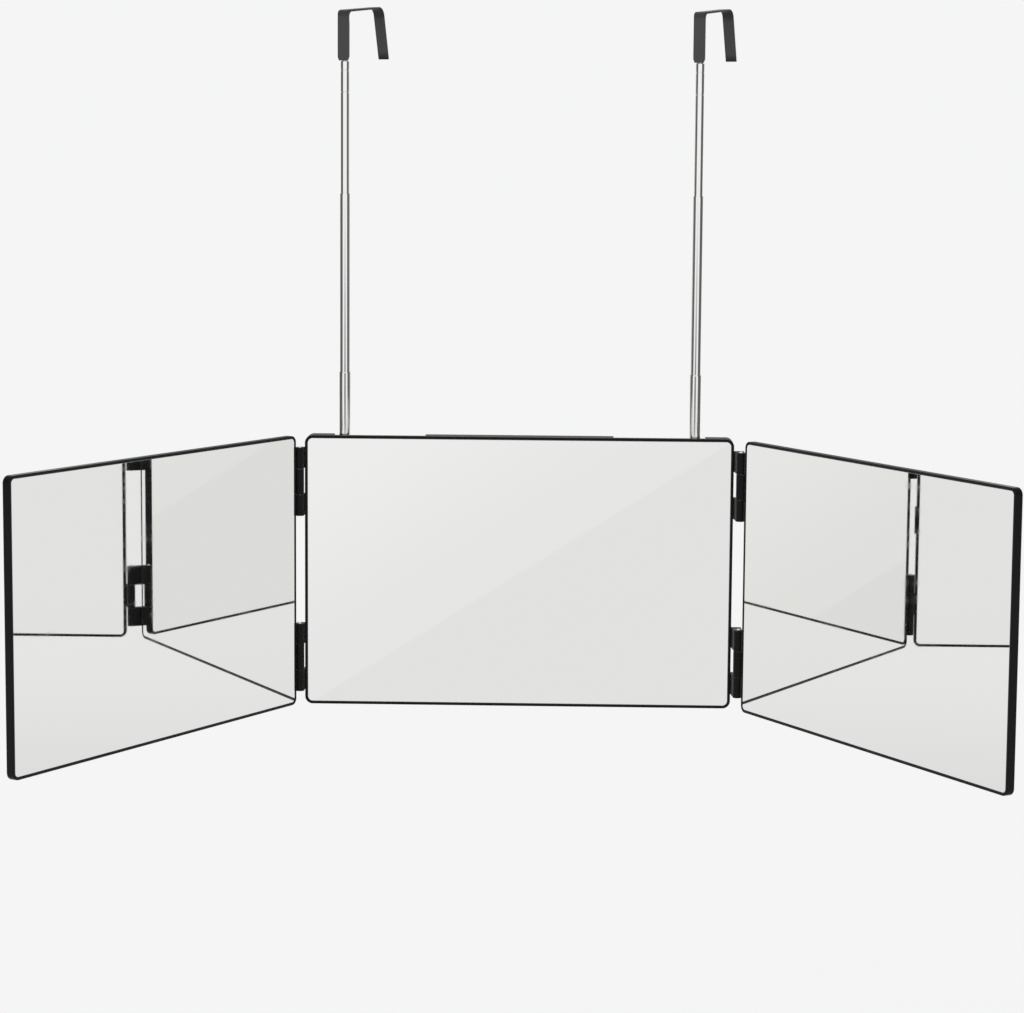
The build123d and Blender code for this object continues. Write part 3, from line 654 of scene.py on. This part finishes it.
haze_group, given, result = new_group(
    "wiped_haze", inputs={"Arc": "Float"}, outputs={"Haze": "Float", "Specks": "Float"})
place = own_place(haze_group)
wander = add(haze_group, "TexNoise", {"Vector": place, "Scale": DRIFTS_PER_METRE, "Detail": 1.0})
drift = add(haze_group, "VectorMath", {0: wander.outputs["Color"], "Scale": given["Arc"]},
            operation="SCALE").outputs[0]
bent = vector_maths(haze_group, "ADD", place, drift)
strokes = vector_maths(haze_group, "MULTIPLY", bent, STROKES_PER_METRE)
dust = add(haze_group, "TexVoronoi", {"Vector": place, "Scale": DUST_PER_METRE})
fill_inputs(haze_group, result, {
    "Haze": noise(haze_group, strokes, 1.0, detail=3.0),
    "Specks": ramp(haze_group, dust.outputs["Distance"], *DUST_SIZE),
})
print("group", haze_group.name)

# %% Mirror panes
SILVER = (0.968, 0.968, 0.960, 1.0)
SILVER_MARGIN = 0.0003               # bare glass between the silver and the ground edge
SILVER_SOFT = 0.0002
SEAL = grey(0.015)
GROUND_EDGE = (0.20, 0.27, 0.24, 1.0)
DUST = grey(0.90)
FRONT_LIKENESS = (0.90, 0.98)        # how squarely a face must look forward to be silvered
WIPE_ARC = 0.05
HAZE_RANGE = (0.45, 0.75)
HAZE_ROUGHNESS = (0.012, 0.030)
DUST_ROUGHER = 0.2

pane_low, pane_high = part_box("centre_mirror")
half_width = (pane_high.x - pane_low.x) / 2
half_height = (pane_high.z - pane_low.z) / 2


def silvered_glass(name, node, turn):
    """Silvered pane with a dark seal line, a ground glass edge and faint wiping marks."""
    material, tree, shader = new_material(name)
    low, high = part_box(node)
    pane = use_group(tree, pane_group, {"Centre": (low + high) / 2, "Turn": turn,
                                        "Half Width": half_width, "Half Height": half_height})
    wiped = use_group(tree, haze_group, {"Arc": WIPE_ARC})
    front = ramp(tree, pane["Facing"], *FRONT_LIKENESS)
    inside = ramp(tree, pane["Distance"], SILVER_MARGIN - SILVER_SOFT, SILVER_MARGIN + SILVER_SOFT)
    silver = maths(tree, "MULTIPLY", inside, front)
    bare = mix_colour(tree, front, GROUND_EDGE, SEAL)
    dusty = mix_colour(tree, wiped["Specks"], SILVER, DUST)
    clean = ramp(tree, wiped["Haze"], *HAZE_RANGE, *HAZE_ROUGHNESS)
    rougher = maths(tree, "MULTIPLY", wiped["Specks"], DUST_ROUGHER)
    fill_inputs(tree, shader, {
        "Base Color": mix_colour(tree, silver, bare, dusty),
        "Metallic": silver,
        "Roughness": maths(tree, "ADD", clean, rougher),
        "IOR": GLASS_LIKE_IOR,
    })
    return material


panes = {
    "centre_mirror": silvered_glass("centre_silvering", "centre_mirror", 0.0),
    "left_wing_mirror": silvered_glass("left_silvering", "left_wing_mirror", -WING_TURN),
    "right_wing_mirror": silvered_glass("right_silvering", "right_wing_mirror", WING_TURN),
}
print("pane", round(half_width * 2, 4), "by", round(half_height * 2, 4))

# %% [markdown]
# ## Steel
#
# The tubes are bright stainless steel, drawn and polished. Small fasteners are zinc plated,
# pins are ground, and the friction rings inside the tubes are spring bronze. All are the same
# tree: a metal colour, lines from making it, and roughness that drifts a little.

# %% Metals
DULL_SHARE = 0.92                    # colour of a metal where it is dull
ROUGHNESS_SHARES = (0.8, 1.25)
METAL_EDGE = 0.00015
METAL_BREAKUP = 0.003
LINE_STRENGTH = 0.6


def metal(name, colour, roughness, across, along, depth):
    """Bare metal with lines along Z, this far apart and this long."""
    material, tree, shader = new_material(name)
    lines = use_group(tree, lines_group, {"Across": across, "Along": along})
    rubbed = use_group(tree, edge_group, {"Radius": METAL_EDGE, "Breakup": METAL_BREAKUP})
    dull = tuple(part * DULL_SHARE for part in colour)
    bump = add(tree, "Bump", {"Strength": LINE_STRENGTH, "Distance": depth,
                              "Height": lines["Height"], "Normal": rubbed["Normal"]})
    fill_inputs(tree, shader, {
        "Base Color": mix_colour(tree, lines["Gloss"], (*dull, 1.0), (*colour, 1.0)),
        "Metallic": 1.0,
        "Roughness": ramp(tree, lines["Gloss"], *MIDDLE_OF_NOISE,
                          *(roughness * share for share in ROUGHNESS_SHARES)),
        "Normal": bump.outputs[0],
    })
    return material


tube_steel = metal("drawn_stainless", colour=(0.75, 0.75, 0.74), roughness=0.08,
                   across=0.0003, along=0.05, depth=0.000004)
pin_steel = metal("ground_pin", colour=(0.78, 0.78, 0.77), roughness=0.16,
                  across=0.0002, along=0.0002, depth=0.000004)
zinc_steel = metal("zinc_plate", colour=(0.66, 0.67, 0.68), roughness=0.30,
                   across=0.0004, along=0.004, depth=0.00001)
spring_bronze = metal("spring_bronze", colour=(0.78, 0.55, 0.30), roughness=0.28,
                      across=0.0003, along=0.01, depth=0.00001)
print("metals", tube_steel.name, pin_steel.name, zinc_steel.name, spring_bronze.name)

# %% [markdown]
# ## Inside pieces
#
# Foam tape and the backing plate sit behind the glass, and a nylon plug closes each rod
# sleeve. They don't show, but whoever opens the model finds them finished: black closed-cell
# foam with small cells, black coated board, and black nylon.

# %% Foam, board and nylon
FOAM_CELL = 0.0006
FOAM_DEPTH = 0.0001


def foam():
    """Black closed-cell foam tape."""
    material, tree, shader = new_material("foam_cells")
    cells = add(tree, "TexVoronoi", {"Vector": own_place(tree), "Scale": 1 / FOAM_CELL})
    far = cells.outputs["Distance"]
    bump = add(tree, "Bump", {"Strength": 0.7, "Distance": FOAM_DEPTH, "Height": far})
    fill_inputs(tree, shader, {
        "Base Color": mix_colour(tree, far, grey(0.06), grey(0.10)),
        "Roughness": 0.85,
        "Normal": bump.outputs[0],
    })
    return material


foam_tape = foam()
board = moulded_plastic("coated_board", colour=0.03, roughness=0.6, gloss=0.4,
                        grain=0.0008, depth=0.00006, edge_radius=0.0002, edge_tone_of_wear_and_light=1.5)
plug_nylon = moulded_plastic("plug_nylon", colour=0.04, roughness=0.5, gloss=0.5,
                             grain=0.0004, depth=0.00003, edge_radius=0.0003, edge_tone_of_wear_and_light=1.3)
print("inside", foam_tape.name, board.name, plug_nylon.name)

# %% [markdown]
# ## Dressing the pieces
#
# Each piece of the frame carries the name of the stuff it is made of in its material slot.
# The finish is put into that slot, and the shape stays as it is. The three panels and their
# glasses have finishes of their own, because each looks another way.

# %% Put the finishes on
FINISHES = {
    "charcoal_plastic": charcoal,
    "hook_plastic": hook_vinyl,
    "sleeve_plug": plug_nylon,
    "stainless_tube": tube_steel,
    "pin_steel": pin_steel,
    "zinc_steel": zinc_steel,
    "spring_bronze": spring_bronze,
    "foam_tape": foam_tape,
    "backing_board": board,
}
own_finishes = {**shells, **panes}
for name, piece in nodes.items():
    for held in piece.material_slots:
        held.material = own_finishes.get(name) or FINISHES[held.material.name]
print("finished", len(nodes), "pieces")
